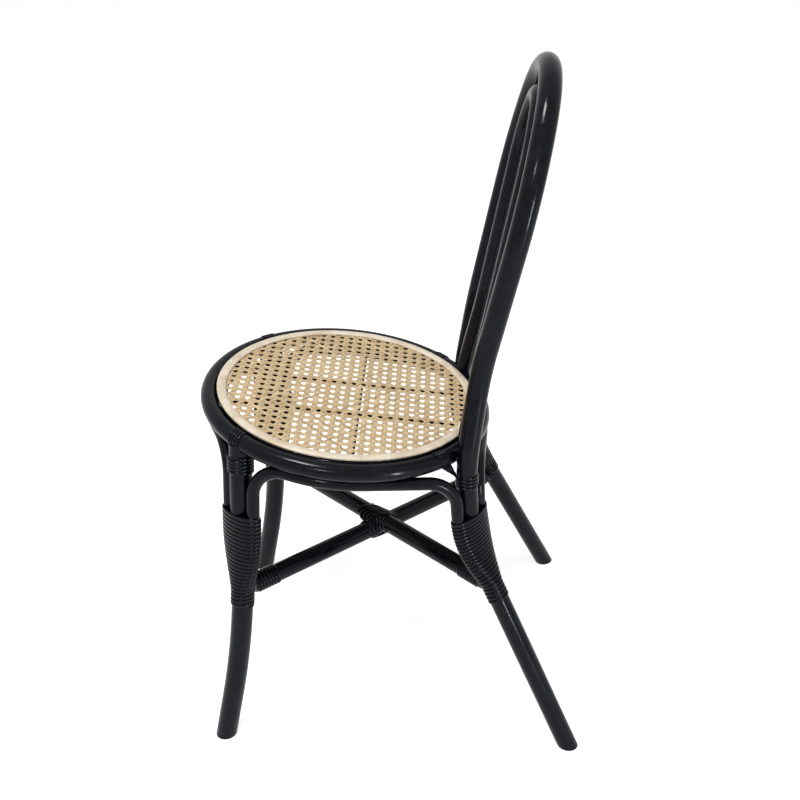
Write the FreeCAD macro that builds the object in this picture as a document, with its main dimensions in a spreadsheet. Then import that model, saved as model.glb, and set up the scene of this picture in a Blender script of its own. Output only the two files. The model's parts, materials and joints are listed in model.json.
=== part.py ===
"""A rattan bistro chair with a cane seat, built from bent poles.

The outer back hoop and both rear legs are one long bent pole.  A smaller hoop stands on the
seat ring inside it.  The seat ring carries a cane panel, rests on two sabre front legs and is
held between the rear posts.  Four thin arches stiffen the legs under the ring and two crossed
stretchers brace them lower down.  Peel is wound round every joint.

Millimetres, +Z up.  The origin is on the floor, in the middle of the four feet.  The front of
the chair faces -Y, and the sitter's left is +X.
"""

import FreeCAD
import Part
import Sketcher
import math
import os

V = FreeCAD.Vector
HALF = 0.5
SAME_POINT = 1e-6
TALL = 2000.0

doc = FreeCAD.newDocument("rattan_chair")

# Driving dimensions: name, value in millimetres or degrees, what it is.

DIMENSIONS = [
    ("fit_gap", 0.3, "clearance between pieces that touch"),
    ("seat_height", 445.0, "floor to the middle of the seat ring's pole"),
    ("seat_slope", 6.8, "degrees that the seat falls towards the back"),
    ("seat_forward", 65.5, "seat centre in front of the middle of the feet"),
    ("ring_radius", 185.0, "seat ring, to the middle of its pole"),
    ("ring_pole_radius", 11.5, "seat ring's pole"),
    ("post_radius", 13.6, "pole of the back hoop and rear legs"),
    ("post_angle", 50.2, "degrees round the ring from the side to the rear post"),
    ("rear_foot_side", 209.0, "rear foot from the middle"),
    ("rear_foot_back", 243.5, "rear foot behind the middle"),
    ("rear_knee_side", 136.2, "rear knee from the middle"),
    ("rear_knee_back", 102.4, "rear knee behind the middle"),
    ("rear_knee_drop", 135.0, "rear knee below the seat height"),
    ("rear_knee_bend", 230.0, "bend radius of the rear knee"),
    ("nape_out", 0.7, "corner of the bend at the ring, farther out than the post's seat"),
    ("nape_drop", 5.7, "corner of the bend at the ring, below the post's seat"),
    ("nape_bend", 220.0, "bend radius at the ring"),
    ("waist_lean", 7.7, "degrees that the posts lean back below the waist"),
    ("waist_side", 110.5, "outer hoop's waist from the middle"),
    ("waist_rise", 119.4, "waist above the bend at the ring, along the posts"),
    ("waist_bend", 260.0, "bend radius at the waist"),
    ("hoop_lean", 12.3, "degrees that the outer hoop leans back above the waist"),
    ("hoop_half_width", 124.8, "outer hoop, middle to pole centre"),
    ("hoop_rise", 353.8, "outer hoop's top above the waist, along the hoop"),
    ("hoop_straight_bend", 250.0, "bend radius where the hoop is widest"),
    ("hoop_side_bend", 210.0, "bend radius of the hoop's shoulders"),
    ("hoop_top_bend", 107.7, "bend radius of the hoop's top"),
    ("inner_pole_radius", 11.0, "pole of the inner hoop"),
    ("inner_foot_side", 100.0, "inner hoop's foot on the ring, from the middle"),
    ("inner_foot_out", 3.2, "inner hoop's foot outside the ring's centre line"),
    ("inner_lean", 11.1, "degrees that the inner hoop leans back"),
    ("inner_half_width", 60.0, "inner hoop, middle to pole centre"),
    ("inner_rise", 434.0, "inner hoop's top above its foot, along the hoop"),
    ("inner_side_bend", 110.0, "bend radius of the inner hoop's shoulders"),
    ("inner_top_bend", 40.0, "bend radius of the inner hoop's top"),
    ("front_leg_radius", 14.5, "pole of the front legs"),
    ("front_leg_angle", 42.0, "degrees round the ring from the side to the front leg"),
    ("front_foot_side", 191.0, "front foot from the middle"),
    ("front_foot_front", 243.5, "front foot in front of the middle"),
    ("front_knee_height", 170.0, "sabre bend above the floor"),
    ("front_knee_front", 206.0, "sabre bend in front of the middle"),
    ("front_knee_bend", 1300.0, "radius of the sabre bend"),
    ("leg_horn", 3.0, "ring's middle above the end of the front leg's saddle"),
    ("arch_radius", 8.5, "pole of the arches"),
    ("arch_corner", 42.0, "bend radius of the arches' corners"),
    ("arch_bow", 180.0, "bend radius of the front and side arches' tops under the ring"),
    ("rear_arch_crown", 190.0, "corner of the rear arch's top behind the ring's centre"),
    ("rear_arch_bend", 400.0, "bend radius of the rear arch's top"),
    ("pare_top_drop", 110.0, "start of the paring of the arches' tails, below the seat height"),
    ("pare_end_drop", 187.0, "end of the paring of the arches' tails, below the seat height"),
    ("stretcher_radius", 12.6, "pole of the stretchers"),
    ("low_stretcher_front", 242.0, "lower stretcher's front end above the floor"),
    ("low_stretcher_rear", 219.0, "lower stretcher's rear end above the floor"),
    ("high_stretcher_height", 242.5, "upper stretcher above the floor"),
    ("butt_gap", 1.6, "stretcher's end clear of the wound leg"),
    ("panel_hoop_radius", 6.5, "hoop that carries the cane, its pole"),
    ("webbing_thick", 2.0, "cane webbing"),
    ("webbing_rise", 11.7, "top of the webbing above the ring's middle"),
    ("webbing_radius", 175.0, "outside of the webbing"),
    ("border_radius", 175.6, "outside of the border strip"),
    ("border_width", 12.0, "flat border strip, radially"),
    ("border_thick", 3.7, "flat border strip"),
    ("mesh_pitch", 18.0, "one gap of the webbing to the next"),
    ("mesh_gap", 9.0, "width of one gap of the webbing"),
    ("mesh_margin", 4.0, "whole webbing left inside the border"),
    ("rod_radius", 3.0, "rods under the webbing"),
    ("rod_side", 41.0, "long rods from the middle"),
    ("crossbar_back", 17.0, "cross rod behind the ring's centre"),
    ("strand_thick", 1.7, "peel strand"),
    ("strand_space", 0.9, "space between one turn of peel and the next"),
    ("knee_strand_space", 1.4, "space between the turns of the rear leg bindings"),
    ("binding_gap", 0.6, "binding clear of the poles"),
    ("knee_binding_gap", 1.1, "rear leg bindings clear of the bent pole"),
    ("front_binding_low", 219.0, "lower end of the front leg bindings"),
    ("front_binding_drop", 85.0, "upper end of the front leg bindings, below the seat height"),
    ("rear_binding_low", 222.0, "lower end of the rear leg bindings"),
    ("rear_binding_drop", 95.0, "upper end of the rear leg bindings, below the seat height"),
    ("binding_lead", 14.0, "leg binding starts to widen below the pared tails"),
    ("leg_binding_turns", 16.0, "turns of a leg binding"),
    ("tie_turns", 3.0, "turns of a tie round a leg or post under the ring"),
    ("tie_pitch", 5.2, "one turn of a tie to the next"),
    ("tie_drop", 15.5, "top turn of a tie under the ring's middle"),
    ("end_turns", 5.0, "turns round the end of a stretcher"),
    ("end_pitch", 6.0, "one turn round a stretcher's end to the next"),
    ("end_clear", 13.0, "first turn round a stretcher's end clear of the leg binding"),
    ("lash_turns", 4.0, "turns of each lashing over the crossing"),
    ("lash_pitch", 6.0, "one turn of a lashing to the next"),
    ("lash_wide", 6.5, "lashing stands off the crossing's sides"),
    ("lash_deep", 2.4, "lashing stands off the crossing's top and bottom"),
    ("lash_layer", 3.4, "outer lashing over the inner one"),
    ("dowel_radius", 4.0, "dowel in a saddle joint"),
    ("dowel_depth", 24.0, "dowel's reach into the leg or hoop, from the ring's middle"),
    ("dowel_bite", 6.0, "dowel's reach into the ring, past the ring's middle"),
    ("screw_radius", 2.4, "shank of the wood screws"),
    ("screw_head_radius", 4.6, "head of the wood screws"),
    ("screw_head_length", 3.2, "countersunk head"),
]

sheet = doc.addObject("Spreadsheet::Sheet", "dims")
for row, (alias, value, note) in enumerate(DIMENSIONS, start=1):
    sheet.set("A%d" % row, note)
    sheet.set("B%d" % row, repr(value))
    sheet.setAlias("B%d" % row, alias)
doc.recompute()


def size(alias):
    """The value of one driving dimension."""
    return float(sheet.get(alias))


def bound(alias):
    """The expression that ties a property to one driving dimension."""
    return "<<dims>>." + alias


GAP = size("fit_gap")
RING_R = size("ring_radius")
RING_POLE = size("ring_pole_radius")
POST = size("post_radius")
LEG = size("front_leg_radius")
ARCH = size("arch_radius")
STRETCHER = size("stretcher_radius")
STRAND = size("strand_thick")
BINDING_GAP = size("binding_gap")
POST_ANGLE = size("post_angle")
POST_OUT = RING_R + RING_POLE + POST + GAP
PARE_TOP = size("seat_height") - size("pare_top_drop")
PARE_END = size("seat_height") - size("pare_end_drop")
FRONT_ANGLE = -size("front_leg_angle")
SEAT = FreeCAD.Placement(
    V(0, -size("seat_forward"), size("seat_height")),
    FreeCAD.Rotation(V(1, 0, 0), -size("seat_slope")),
)
SIDES = (("left", 1), ("right", -1))
MIRROR_PLANE = V(1, 0, 0)

pieces = []


# Points and directions.


def seat_point(x, y, z=0.0):
    """A point given from the ring's centre, in the plane of the ring."""
    return SEAT.multVec(V(x, y, z))


def seat_vector(x, y, z=0.0):
    return SEAT.Rotation.multVec(V(x, y, z))


def on_ring(angle, radius, z=0.0):
    a = math.radians(angle)
    return seat_point(radius * math.cos(a), radius * math.sin(a), z)


def along_ring(angle):
    """The ring's direction at an angle, counter-clockwise seen from above."""
    a = math.radians(angle)
    return seat_vector(-math.sin(a), math.cos(a))


def mirrored(point):
    return V(-point.x, point.y, point.z)


def to_side(point, side):
    """A point of the left side, taken to the side that is asked for."""
    return point if side > 0 else mirrored(point)


def unit(vector):
    return vector / vector.Length


def across(vector, direction):
    """The part of a vector square to a direction, as a unit vector."""
    return unit(vector - direction * vector.dot(direction))


def at_height(a, b, z):
    """The point of the line through a and b at height z."""
    return a + (b - a) * ((z - a.z) / (b.z - a.z))


def turned(axis):
    """The rotation that takes +Z to an axis."""
    return FreeCAD.Rotation(V(0, 0, 1), axis)


# Paths of straight runs joined by tangent arcs.


def bent_edges(points, radii):
    """Edges through the first and last point that round each point between them."""
    edges = []
    start = points[0]
    for before, corner, after, radius in zip(points, points[1:], points[2:], radii):
        d1 = unit(corner - before)
        d2 = unit(after - corner)
        turn = d1.getAngle(d2)
        cut = radius * math.tan(turn * HALF)
        first = corner - d1 * cut
        last = corner + d2 * cut
        middle = corner + unit(d2 - d1) * (radius / math.cos(turn * HALF) - radius)
        if (first - start).Length > SAME_POINT:
            edges.append(Part.LineSegment(start, first).toShape())
        edges.append(Part.Arc(first, middle, last).toShape())
        start = last
    if (points[-1] - start).Length > SAME_POINT:
        edges.append(Part.LineSegment(start, points[-1]).toShape())
    return edges


# Document objects.


def feature(name, shape):
    """A shape from Part's own functions, as an object of the document."""
    item = doc.addObject("Part::Feature", name)
    item.Shape = shape
    item.Placement = shape.Placement
    return item


def keep(item, name):
    """One piece of the chair, under its own name."""
    item.Label = name
    pieces.append(item)
    return item


def bent_pole(name, points, radii, alias):
    """A round pole along straight runs and arcs, its radius bound to the sheet."""
    path = feature(name + "_path", Part.Wire(bent_edges(points, radii)))
    first = path.Shape.OrderedEdges[0]
    start = first.valueAt(first.FirstParameter)
    direction = first.tangentAt(first.FirstParameter)
    section = doc.addObject("Part::Circle", name + "_section")
    section.setExpression("Radius", bound(alias))
    section.Placement = FreeCAD.Placement(start, turned(direction))
    pole = doc.addObject("Part::Sweep", name + "_pole")
    pole.Sections = [section]
    pole.Spine = (path, ["Edge%d" % (n + 1) for n in range(len(path.Shape.Edges))])
    pole.Solid = True
    pole.Frenet = True
    return pole


def rod(name, start, end, alias):
    """A straight round pole between two points, its radius bound to the sheet."""
    pole = doc.addObject("Part::Cylinder", name)
    pole.setExpression("Radius", bound(alias))
    pole.Height = (end - start).Length
    pole.Placement = FreeCAD.Placement(start, turned(end - start))
    return pole


def cut(name, base, tools):
    """A piece less a set of tool shapes."""
    tool = feature(name + "_tools", tools[0] if len(tools) == 1 else tools[0].multiFuse(tools[1:]))
    item = doc.addObject("Part::Cut", name + "_cut")
    item.Base = base
    item.Tool = tool
    return item


def mirror_of(name, source):
    item = doc.addObject("Part::Mirroring", name + "_mirror")
    item.Source = source
    item.Base = V(0, 0, 0)
    item.Normal = MIRROR_PLANE
    return item


def below_floor():
    box = Part.makeBox(TALL, TALL, TALL)
    box.translate(V(-TALL * HALF, -TALL * HALF, -TALL))
    return box


def ring_tool():
    """The seat ring's pole with a clearance, for saddles."""
    tool = Part.makeTorus(RING_R, RING_POLE + GAP)
    tool.Placement = SEAT
    return tool


def cylinder_between(start, end, radius):
    return Part.makeCylinder(radius, (end - start).Length, start, end - start)


# Lines of the left legs and posts, which the other pieces follow.


def up_hoop(origin, lean, x, rise):
    """A point of a leaning hoop, from the middle and along its lean."""
    a = math.radians(lean)
    return V(x, origin.y + rise * math.sin(a), origin.z + rise * math.cos(a))


post_seat = on_ring(POST_ANGLE, POST_OUT)
rear_foot = V(size("rear_foot_side"), size("rear_foot_back"), 0)
rear_knee = V(
    size("rear_knee_side"),
    size("rear_knee_back"),
    size("seat_height") - size("rear_knee_drop"),
)
nape = on_ring(POST_ANGLE, POST_OUT + size("nape_out"), -size("nape_drop"))
waist = up_hoop(nape, size("waist_lean"), size("waist_side"), size("waist_rise"))

front_foot = V(size("front_foot_side"), -size("front_foot_front"), 0)
front_top = on_ring(FRONT_ANGLE, RING_R, -size("leg_horn"))
front_knee = V(
    at_height(front_foot, front_top, size("front_knee_height")).x,
    -size("front_knee_front"),
    size("front_knee_height"),
)


def front_line(height):
    if height < front_knee.z:
        return at_height(front_foot, front_knee, height)
    return at_height(front_knee, front_top, height)


def on_bend(foot, knee, top, radius, height):
    """The middle of a bent leg at a height, through the arc of its knee."""
    d1 = unit(knee - top)
    d2 = unit(foot - knee)
    turn = d1.getAngle(d2)
    first = knee - d1 * (radius * math.tan(turn * HALF))
    last = knee + d2 * (radius * math.tan(turn * HALF))
    if height >= first.z:
        return at_height(knee, top, height)
    if height <= last.z:
        return at_height(foot, knee, height)
    centre = knee + unit(d2 - d1) * (radius / math.cos(turn * HALF))
    above, below = 0.0, 1.0
    for _ in range(40):
        share = (above + below) * HALF
        spoke = (first - centre) * math.sin((1 - share) * turn)
        spoke += (last - centre) * math.sin(share * turn)
        place = centre + spoke / math.sin(turn)
        if place.z > height:
            above = share
        else:
            below = share
    return place


def rear_bend(height):
    return on_bend(rear_foot, rear_knee, nape, size("rear_knee_bend"), height)


def post_bend(height):
    return on_bend(rear_knee, nape, waist, size("nape_bend"), height)


def front_bend(height):
    return on_bend(front_foot, front_knee, front_top, size("front_knee_bend"), height)


# Stretchers from each front leg to the rear leg of the other side.

LOW_FRONT = size("low_stretcher_front")
LOW_REAR = size("low_stretcher_rear")
HIGH = size("high_stretcher_height")
low_front = front_bend(LOW_FRONT)
low_rear = mirrored(rear_bend(LOW_REAR))
high_front = mirrored(front_bend(HIGH))
high_rear = rear_bend(HIGH)
FRONT_WOUND = LEG + BINDING_GAP + STRAND + size("butt_gap")
REAR_WOUND = POST + size("knee_binding_gap") + STRAND + size("butt_gap")


def leg_tool(line, height, wound_radius):
    """A wound leg's stretch round a height, which the stretcher's end is shaped to."""
    centre = line(height)
    along = unit(line(height + 1) - line(height - 1)) * (3 * STRETCHER)
    return cylinder_between(centre - along, centre + along, wound_radius)


def mirror_shape(shape):
    return shape.mirror(V(0, 0, 0), MIRROR_PLANE)


# Screws and dowels.  Each needs a hole with a clearance.


def screw_shape(tip, head):
    """A countersunk wood screw from its tip to the top of its head."""
    shank = size("screw_radius")
    head_radius = size("screw_head_radius")
    length = (head - tip).Length
    outline = [
        V(0, 0, 0),
        V(shank, 0, 2 * shank),
        V(shank, 0, length - size("screw_head_length")),
        V(head_radius, 0, length),
        V(0, 0, length),
        V(0, 0, 0),
    ]
    solid = Part.Face(Part.makePolygon(outline)).revolve(V(0, 0, 0), V(0, 0, 1), 360)
    solid.Placement = FreeCAD.Placement(tip, turned(head - tip))
    return solid


def screw_hole(tip, head, above):
    """The hole for a screw, with a recess that reaches past its head by a length."""
    axis = unit(head - tip)
    seat = head - axis * (size("screw_head_length") + GAP)
    shank = cylinder_between(tip - axis * GAP, head, size("screw_radius") + GAP)
    recess = cylinder_between(seat, head + axis * above, size("screw_head_radius") + GAP)
    return shank.fuse(recess)


def dowel_ends(joint, axis):
    """Both ends of a dowel through a saddle joint on the ring."""
    return joint - axis * size("dowel_bite"), joint + axis * size("dowel_depth")


def dowel_hole(ends):
    axis = unit(ends[1] - ends[0])
    return cylinder_between(ends[0] - axis * GAP, ends[1] + axis * GAP, size("dowel_radius") + GAP)


# Where the fasteners go, for the left side.

front_dowel = dowel_ends(on_ring(FRONT_ANGLE, RING_R), unit(front_knee - front_top))
post_screw = (
    on_ring(POST_ANGLE, RING_R + RING_POLE + POST),
    on_ring(POST_ANGLE, RING_R - RING_POLE + size("screw_head_length")),
)

# The back frame and the inner hoop.


def hoop_corners(half_width, rise, side_bend, top_bend):
    """Shoulder and crown (from the middle, up the hoop) of a three-centred hoop top.

    The sides run up to a shoulder of the larger radius, which flows into the smaller top arc."""
    turn = math.acos((side_bend - half_width) / (side_bend - top_bend))
    spring = rise - top_bend - (side_bend - top_bend) * math.sin(turn)
    shoulder = (half_width, spring + side_bend * math.tan(turn * HALF))
    crown = (0.0, rise - top_bend + top_bend / math.sin(turn))
    return shoulder, crown


def make_back_frame():
    lean = size("hoop_lean")
    half_width = size("hoop_half_width")
    rise = size("hoop_rise")
    widest = up_hoop(waist, lean, half_width, rise * HALF)
    shoulder, crown = hoop_corners(
        half_width, rise, size("hoop_side_bend"), size("hoop_top_bend")
    )
    left = [
        at_height(rear_knee, rear_foot, -POST),
        rear_knee,
        nape,
        waist,
        widest,
        up_hoop(waist, lean, *shoulder),
    ]
    bends = [
        size("rear_knee_bend"),
        size("nape_bend"),
        size("waist_bend"),
        size("hoop_straight_bend"),
        size("hoop_side_bend"),
    ]
    points = left + [up_hoop(waist, lean, *crown)] + [mirrored(p) for p in reversed(left)]
    radii = bends + [size("hoop_top_bend")] + list(reversed(bends))
    pole = bent_pole("back_frame", points, radii, "post_radius")
    post_hole = screw_hole(*post_screw, 0.0)
    return cut(
        "back_frame",
        pole,
        [
            below_floor(),
            post_hole,
            mirror_shape(post_hole),
        ],
    )


inner_foot_radius = RING_R + size("inner_foot_out")
inner_foot = seat_point(
    size("inner_foot_side"), math.sqrt(inner_foot_radius**2 - size("inner_foot_side") ** 2)
)
inner_up = unit(up_hoop(V(0, 0, 0), size("inner_lean"), 0, 1))
inner_dowel = dowel_ends(inner_foot, inner_up)


def make_inner_hoop():
    lean = size("inner_lean")
    half_width = size("inner_half_width")
    rise = size("inner_rise")
    side_bend = size("inner_side_bend")
    straight = up_hoop(inner_foot, lean, half_width, rise / 3)
    shoulder, crown = hoop_corners(half_width, rise, side_bend, size("inner_top_bend"))
    left = [inner_foot, straight, up_hoop(inner_foot, lean, *shoulder)]
    points = left + [up_hoop(inner_foot, lean, *crown)] + [mirrored(p) for p in reversed(left)]
    radii = [side_bend, side_bend, size("inner_top_bend"), side_bend, side_bend]
    pole = bent_pole("inner_hoop", points, radii, "inner_pole_radius")
    hole = dowel_hole(inner_dowel)
    return cut("inner_hoop", pole, [ring_tool(), hole, mirror_shape(hole)])


keep(make_back_frame(), "back_frame")
keep(make_inner_hoop(), "inner_hoop")

# The seat ring, with the holes of what is fixed to it.


def make_seat_ring():
    ring = doc.addObject("Part::Torus", "seat_ring_pole")
    ring.setExpression("Radius1", bound("ring_radius"))
    ring.setExpression("Radius2", bound("ring_pole_radius"))
    ring.Placement = SEAT
    left = [dowel_hole(front_dowel), dowel_hole(inner_dowel), screw_hole(*post_screw, RING_POLE)]
    return cut("seat_ring", ring, left + [mirror_shape(hole) for hole in left])


keep(make_seat_ring(), "seat_ring")

# Front legs, saddled under the ring.


def make_front_leg(word, side):
    points = [at_height(front_knee, front_foot, -LEG), front_knee, front_top]
    pole = bent_pole(
        "front_leg_" + word, [to_side(p, side) for p in points], [size("front_knee_bend")],
        "front_leg_radius",
    )
    hole = dowel_hole(front_dowel)
    tools = [
        below_floor(),
        ring_tool(),
        hole if side > 0 else mirror_shape(hole),
    ]
    return cut("front_leg_" + word, pole, tools)


for word, side in SIDES:
    keep(make_front_leg(word, side), "front_leg_" + word)

# Arches under the ring.  Each tail runs down beside a leg, parallel to it, and is pared thin.

ARCH_PLANE = -(RING_POLE + ARCH + GAP)
TAIL_END = PARE_END - 2 * ARCH


def to_arch_plane(point, direction):
    """Where a line meets the plane in which the arches' tops lie."""
    normal = seat_vector(0, 0, 1)
    level = seat_point(0, 0, ARCH_PLANE)
    return point + direction * ((level - point).dot(normal) / direction.dot(normal))


def front_tail(turn):
    """Points and bends of a tail beside the left front leg, turn +1 towards the back."""
    down = unit(front_knee - front_top)
    aside = across(along_ring(FRONT_ANGLE) * turn, down) * (LEG + ARCH + GAP)
    line = front_top + aside
    corner = to_arch_plane(line, down)
    end = at_height(line, line + down, TAIL_END)
    return [corner, end], []


def rear_tail(turn):
    """Points and bends of a tail beside the left rear leg, turn +1 towards the back."""
    d1 = unit(rear_knee - nape)
    d2 = unit(rear_foot - rear_knee)
    aside = across(along_ring(POST_ANGLE) * turn, d1) * (POST + ARCH + GAP)
    binormal = unit(d1.cross(d2))
    n1 = binormal.cross(d1)
    n2 = binormal.cross(d2)
    inside = aside.dot(n1)
    beside = binormal * aside.dot(binormal)
    knee = rear_knee + beside + (n1 + n2) * (inside / (1 + n1.dot(n2)))
    end = at_height(knee, rear_foot + beside + n2 * inside, TAIL_END)
    return [to_arch_plane(knee, d1), knee, end], [size("rear_knee_bend") - inside]


def mirror_tail(tail):
    return [mirrored(p) for p in tail[0]], tail[1]


def bow_corner(corner_a, corner_b):
    """The corner between the tangents from two points to the circle of an arch's bow."""
    bow = size("arch_bow")
    to_seat = SEAT.inverse()
    a = to_seat.multVec(corner_a)
    b = to_seat.multVec(corner_b)
    angle_a = math.atan2(a.y, a.x)
    angle_b = math.atan2(b.y, b.x)
    if angle_b < angle_a:
        angle_b += 2 * math.pi
    touch_a = angle_a + math.acos(bow / math.hypot(a.x, a.y))
    touch_b = angle_b - math.acos(bow / math.hypot(b.x, b.y))
    middle = (touch_a + touch_b) * HALF
    reach = bow / math.cos((touch_b - touch_a) * HALF)
    return seat_point(reach * math.cos(middle), reach * math.sin(middle), ARCH_PLANE)


def paring_block(line, direction, leg_radius):
    """A block that pares a tail from its outside down to nothing at its lower end.

    The line gives the leg's middle at a height, and the direction points to the tail."""
    top = line(PARE_TOP)
    end = line(PARE_END)
    away = across(direction, unit(top - end))
    upper = top + away * (leg_radius + GAP + 2 * ARCH)
    lower = end + away * (leg_radius + GAP)
    slope = unit(upper - lower)
    normal = across(away, slope)
    width = normal.cross(slope)
    length = (upper - lower).Length + 6 * ARCH
    origin = upper - slope * length - width * (2 * ARCH)
    block = Part.makeBox(length, 4 * ARCH, 4 * ARCH)
    block.Placement = FreeCAD.Placement(
        FreeCAD.Matrix(
            slope.x, width.x, normal.x, origin.x,
            slope.y, width.y, normal.y, origin.y,
            slope.z, width.z, normal.z, origin.z,
            0, 0, 0, 1,
        )
    )
    return block


def make_arch(name, tail_a, tail_b, crown, bend, blocks):
    """An arch from tail a, over its crown, to tail b."""
    points_a, radii_a = tail_a
    points_b, radii_b = tail_b
    corner = size("arch_corner")
    points = list(reversed(points_a)) + [crown] + points_b
    radii = list(reversed(radii_a)) + [corner, bend, corner] + radii_b
    return cut(name, bent_pole(name, points, radii, "arch_radius"), blocks)


FRONT_ALONG = along_ring(FRONT_ANGLE)
POST_ALONG = along_ring(POST_ANGLE)
left_tails = (front_tail(1), rear_tail(-1))
side_arch = make_arch(
    "side_arch_left",
    *left_tails,
    bow_corner(left_tails[0][0][0], left_tails[1][0][0]),
    size("arch_bow"),
    [
        paring_block(front_line, FRONT_ALONG, LEG),
        paring_block(rear_bend, POST_ALONG * -1, POST),
    ],
)
keep(side_arch, "side_arch_left")
keep(mirror_of("side_arch_right", side_arch), "side_arch_right")
front_block = paring_block(front_line, FRONT_ALONG * -1, LEG)
front_tails = (mirror_tail(front_tail(-1)), front_tail(-1))
front_arch = make_arch(
    "front_arch",
    *front_tails,
    bow_corner(front_tails[0][0][0], front_tails[1][0][0]),
    size("arch_bow"),
    [front_block, mirror_shape(front_block)],
)
keep(front_arch, "front_arch")
rear_block = paring_block(rear_bend, POST_ALONG, POST)
rear_arch = make_arch(
    "rear_arch",
    rear_tail(1),
    mirror_tail(rear_tail(1)),
    seat_point(0, size("rear_arch_crown"), ARCH_PLANE),
    size("rear_arch_bend"),
    [rear_block, mirror_shape(rear_block)],
)
keep(rear_arch, "rear_arch")

# The stretchers, housed into each other where they cross.


def make_stretcher(name, front, rear, tools):
    return cut(name, rod(name + "_pole", front, rear, "stretcher_radius"), tools)


low_tools = [
    leg_tool(front_bend, LOW_FRONT, FRONT_WOUND),
    mirror_shape(leg_tool(rear_bend, LOW_REAR, REAR_WOUND)),
    cylinder_between(high_front, high_rear, STRETCHER + GAP),
]
high_tools = [
    mirror_shape(leg_tool(front_bend, HIGH, FRONT_WOUND)),
    leg_tool(rear_bend, HIGH, REAR_WOUND),
]
keep(make_stretcher("stretcher_low", low_front, low_rear, low_tools), "stretcher_low")
keep(make_stretcher("stretcher_high", high_front, high_rear, high_tools), "stretcher_high")

# The cane panel: a hoop inside the ring, rods, webbing and a flat border strip.

WEBBING_TOP = size("webbing_rise")
WEBBING_LOW = WEBBING_TOP - size("webbing_thick")
PANEL_POLE = size("panel_hoop_radius")
PANEL_Z = WEBBING_LOW - GAP - PANEL_POLE
PANEL_R = RING_R - math.sqrt((RING_POLE + PANEL_POLE + GAP) ** 2 - PANEL_Z**2)
CROSS_Z = PANEL_Z - PANEL_POLE - GAP - size("rod_radius")
ROD_Z = CROSS_Z + 2 * size("rod_radius") + GAP


def in_seat(x, y, z):
    """A placement at a point given from the ring's centre, square to the ring."""
    return FreeCAD.Placement(seat_point(x, y, z), SEAT.Rotation)


panel_hoop = doc.addObject("Part::Torus", "panel_hoop")
panel_hoop.Radius1 = PANEL_R
panel_hoop.setExpression("Radius2", bound("panel_hoop_radius"))
panel_hoop.Placement = in_seat(0, 0, PANEL_Z)
keep(panel_hoop, "panel_hoop")


def panel_tool():
    tool = Part.makeTorus(PANEL_R, PANEL_POLE + GAP)
    tool.Placement = in_seat(0, 0, PANEL_Z)
    return tool


def make_long_rod(word, side):
    x = side * size("rod_side")
    reach = math.sqrt(PANEL_R**2 - x**2)
    name = "seat_rod_" + word
    pole = rod(name + "_pole", seat_point(x, -reach, ROD_Z), seat_point(x, reach, ROD_Z), "rod_radius")
    return cut(name, pole, [panel_tool()])


for word, side in SIDES:
    keep(make_long_rod(word, side), "seat_rod_" + word)

cross_y = size("crossbar_back")
cross_reach = math.sqrt(RING_R**2 - cross_y**2)
cross_pole = rod(
    "seat_crossbar_pole",
    seat_point(-cross_reach, cross_y, CROSS_Z),
    seat_point(cross_reach, cross_y, CROSS_Z),
    "rod_radius",
)
keep(cut("seat_crossbar", cross_pole, [ring_tool()]), "seat_crossbar")


def make_webbing():
    """The webbing as one face with a square grid of gaps, given its thickness."""
    pitch = size("mesh_pitch")
    half = size("mesh_gap") * HALF
    inner = size("border_radius") - size("border_width") - size("mesh_margin")
    count = int(inner // pitch)
    face = [Part.Wire([Part.Circle(V(0, 0, 0), V(0, 0, 1), size("webbing_radius")).toShape()])]
    for column in range(-count, count + 1):
        for line in range(-count, count + 1):
            x = column * pitch
            y = line * pitch
            if math.hypot(abs(x) + half, abs(y) + half) > inner:
                continue
            corners = [
                V(x - half, y - half, 0),
                V(x - half, y + half, 0),
                V(x + half, y + half, 0),
                V(x + half, y - half, 0),
            ]
            face.append(Part.makePolygon(corners + corners[:1]))
    solid = Part.Face(face, "Part::FaceMakerBullseye").extrude(V(0, 0, size("webbing_thick")))
    print("gaps in the webbing", len(face) - 1)
    item = doc.addObject("Part::Feature", "webbing")
    item.Shape = solid
    item.Placement = in_seat(0, 0, WEBBING_LOW)
    return item


keep(make_webbing(), "webbing")


def plane_of(body, role):
    for item in body.Origin.OriginFeatures:
        if item.Role == role:
            return item
    raise RuntimeError("no plane " + role)


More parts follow.
